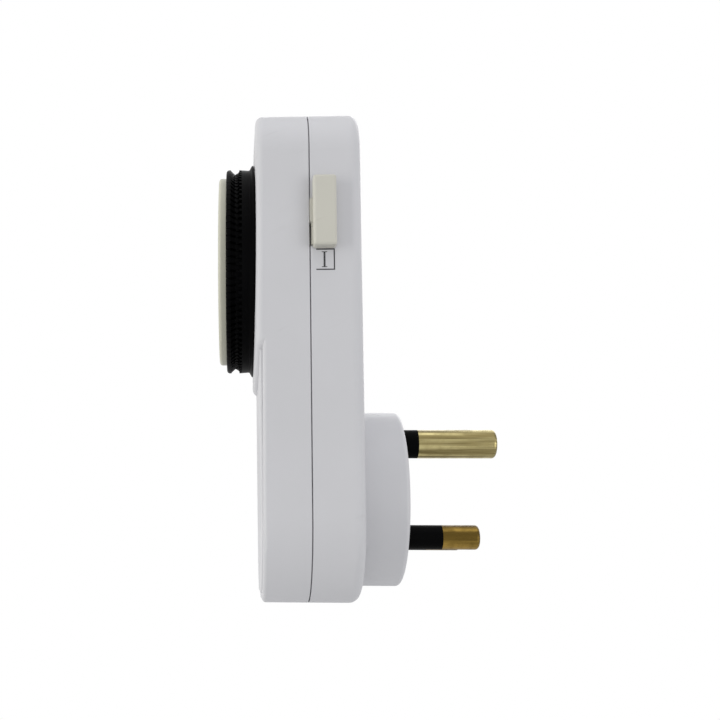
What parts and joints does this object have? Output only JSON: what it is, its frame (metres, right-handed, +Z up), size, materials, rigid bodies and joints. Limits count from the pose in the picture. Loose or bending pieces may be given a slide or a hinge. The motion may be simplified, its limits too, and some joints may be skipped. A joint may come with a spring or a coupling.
{
  "type": "plug-in timer",
  "caption": "Plug-in 24 hour segment timer with a round pin plug behind, a through socket in front, a turning dial with push tappets and a side override slider.",
  "frame": {"origin": "centre of the flat end of the round plug boss, where it meets the wall socket", "axes": "+X out of the plug face along the pins into the wall, -X towards the user, +Z up, the side with the override slider at -Y"},
  "size_m": [0.0838, 0.073, 0.143],
  "materials": {
    "housing_grey": "moulded, fine satin",
    "number_cream": "moulded, satin",
    "slider_ivory": "moulded, satin",
    "dial_black": "moulded, satin",
    "collar_black": "moulded, satin",
    "earth_brass": "turned, satin",
    "line_brass": "turned, satin",
    "strap_brass": "stamped",
    "contact_silver": "silver alloy, dull",
    "zinc_steel": "zinc plated",
    "motor_steel": "drawn sheet",
    "spring_steel": "bright wire",
    "chassis_plastic": "moulded",
    "carrier_brown": "phenolic moulding",
    "gear_nylon": "moulded",
    "copper_wire": "enamelled wire",
    "magnet_dark": "bonded ferrite",
    "lead_insulation": "smooth sleeve"
  },
  "bodies": {
    "housing": {"front_shell": "housing_grey", "rear_shell": "housing_grey", "shell_screws": "zinc_steel", "chassis_plate": "chassis_plastic", "chassis_screws": "zinc_steel", "socket_screws": "zinc_steel", "motor_screws": "zinc_steel", "pin_carrier": "carrier_brown", "earth_pin": "earth_brass", "live_pin": "line_brass", "neutral_pin": "line_brass", "earth_collar": "collar_black", "live_sleeve": "collar_black", "neutral_sleeve": "collar_black", "earth_contact": "strap_brass", "live_contact": "strap_brass", "neutral_contact": "strap_brass", "earth_strap": "strap_brass", "neutral_strap": "strap_brass", "live_feed_strap": "strap_brass", "live_load_strap": "strap_brass", "socket_block": "carrier_brown", "shutter_spring": "spring_steel", "dial_post": "zinc_steel", "hub_washer": "zinc_steel", "hub_screw": "zinc_steel", "hub_cap": "number_cream", "idler_axle": "zinc_steel", "motor_plate": "motor_steel", "motor_can": "motor_steel", "coil_bobbin": "chassis_plastic", "coil_winding": "copper_wire", "rotor_axle": "zinc_steel", "lever_axle": "zinc_steel", "lever_spring": "spring_steel", "fixed_contact": "contact_silver", "contact_braid": "copper_wire", "detent_spring": "spring_steel", "motor_leads": "lead_insulation"},
    "dial": {"dial_ring": "dial_black", "dial_gear": "gear_nylon", "number_plate": "number_cream", "tappets": "dial_black"},
    "tappet_1": {"tappet_1": "dial_black"},
    "tappet_2": {"tappet_2": "dial_black"},
    "tappet_3": {"tappet_3": "dial_black"},
    "tappet_4": {"tappet_4": "dial_black"},
    "tappet_5": {"tappet_5": "dial_black"},
    "tappet_6": {"tappet_6": "dial_black"},
    "tappet_7": {"tappet_7": "dial_black"},
    "tappet_8": {"tappet_8": "dial_black"},
    "idler": {"idler_gear": "gear_nylon"},
    "output": {"output_pinion": "gear_nylon"},
    "rotor": {"rotor": "magnet_dark"},
    "lever": {"follower_lever": "gear_nylon", "moving_contact": "contact_silver"},
    "override": {"slider_cap": "slider_ivory", "slider_carriage": "slider_ivory", "bridge_blade": "strap_brass"},
    "shutter": {"shutter": "gear_nylon"}
  },
  "joints": [
    {"name": "dial_spin", "type": "hinge", "parent": "housing", "child": "dial", "pos_m": [-0.044, 0, 0.0711], "axis": [1, 0, 0], "continuous": true},
    {"name": "tappet_1_push", "type": "slide", "parent": "dial", "child": "tappet_1", "axis": [1, 0, 0], "range_m": [0, 0.0015]},
    {"name": "tappet_2_push", "type": "slide", "parent": "dial", "child": "tappet_2", "axis": [1, 0, 0], "range_m": [0, 0.0015]},
    {"name": "tappet_3_push", "type": "slide", "parent": "dial", "child": "tappet_3", "axis": [1, 0, 0], "range_m": [0, 0.0015]},
    {"name": "tappet_4_push", "type": "slide", "parent": "dial", "child": "tappet_4", "axis": [1, 0, 0], "range_m": [0, 0.0015]},
    {"name": "tappet_5_push", "type": "slide", "parent": "dial", "child": "tappet_5", "axis": [1, 0, 0], "range_m": [0, 0.0015]},
    {"name": "tappet_6_push", "type": "slide", "parent": "dial", "child": "tappet_6", "axis": [1, 0, 0], "range_m": [0, 0.0015]},
    {"name": "tappet_7_push", "type": "slide", "parent": "dial", "child": "tappet_7", "axis": [1, 0, 0], "range_m": [0, 0.0015]},
    {"name": "tappet_8_push", "type": "slide", "parent": "dial", "child": "tappet_8", "axis": [1, 0, 0], "range_m": [0, 0.0015]},
    {"name": "idler_spin", "type": "hinge", "parent": "housing", "child": "idler", "pos_m": [-0.034, 0.01312, 0.04837], "axis": [1, 0, 0], "continuous": true},
    {"name": "output_spin", "type": "hinge", "parent": "housing", "child": "output", "pos_m": [-0.032, 0.00413, 0.06396], "axis": [1, 0, 0], "continuous": true},
    {"name": "rotor_spin", "type": "hinge", "parent": "housing", "child": "rotor", "pos_m": [-0.022, 0.002, 0.0759], "axis": [1, 0, 0], "continuous": true},
    {"name": "lever_tilt", "type": "hinge", "parent": "housing", "child": "lever", "pos_m": [-0.0343, -0.0243, 0.04569], "axis": [0, 1, 0], "range_deg": [0, 9], "stiffness_Nm_per_rad": 0.005, "springref_deg": -17.19, "deforming": ["lever_spring"]},
    {"name": "override_slide", "type": "slide", "parent": "housing", "child": "override", "axis": [0, 0, -1], "range_m": [0, 0.0064]},
    {"name": "shutter_slide", "type": "slide", "parent": "housing", "child": "shutter", "axis": [0, 0, 1], "range_m": [0, 0.0084], "stiffness_N_per_m": 60, "springref_m": -0.006, "deforming": ["shutter_spring"]}
  ],
  "couplings": [
    {"joint": "idler_spin", "follows": "dial_spin", "ratio": -6},
    {"joint": "output_spin", "follows": "dial_spin", "ratio": 30}
  ]
}
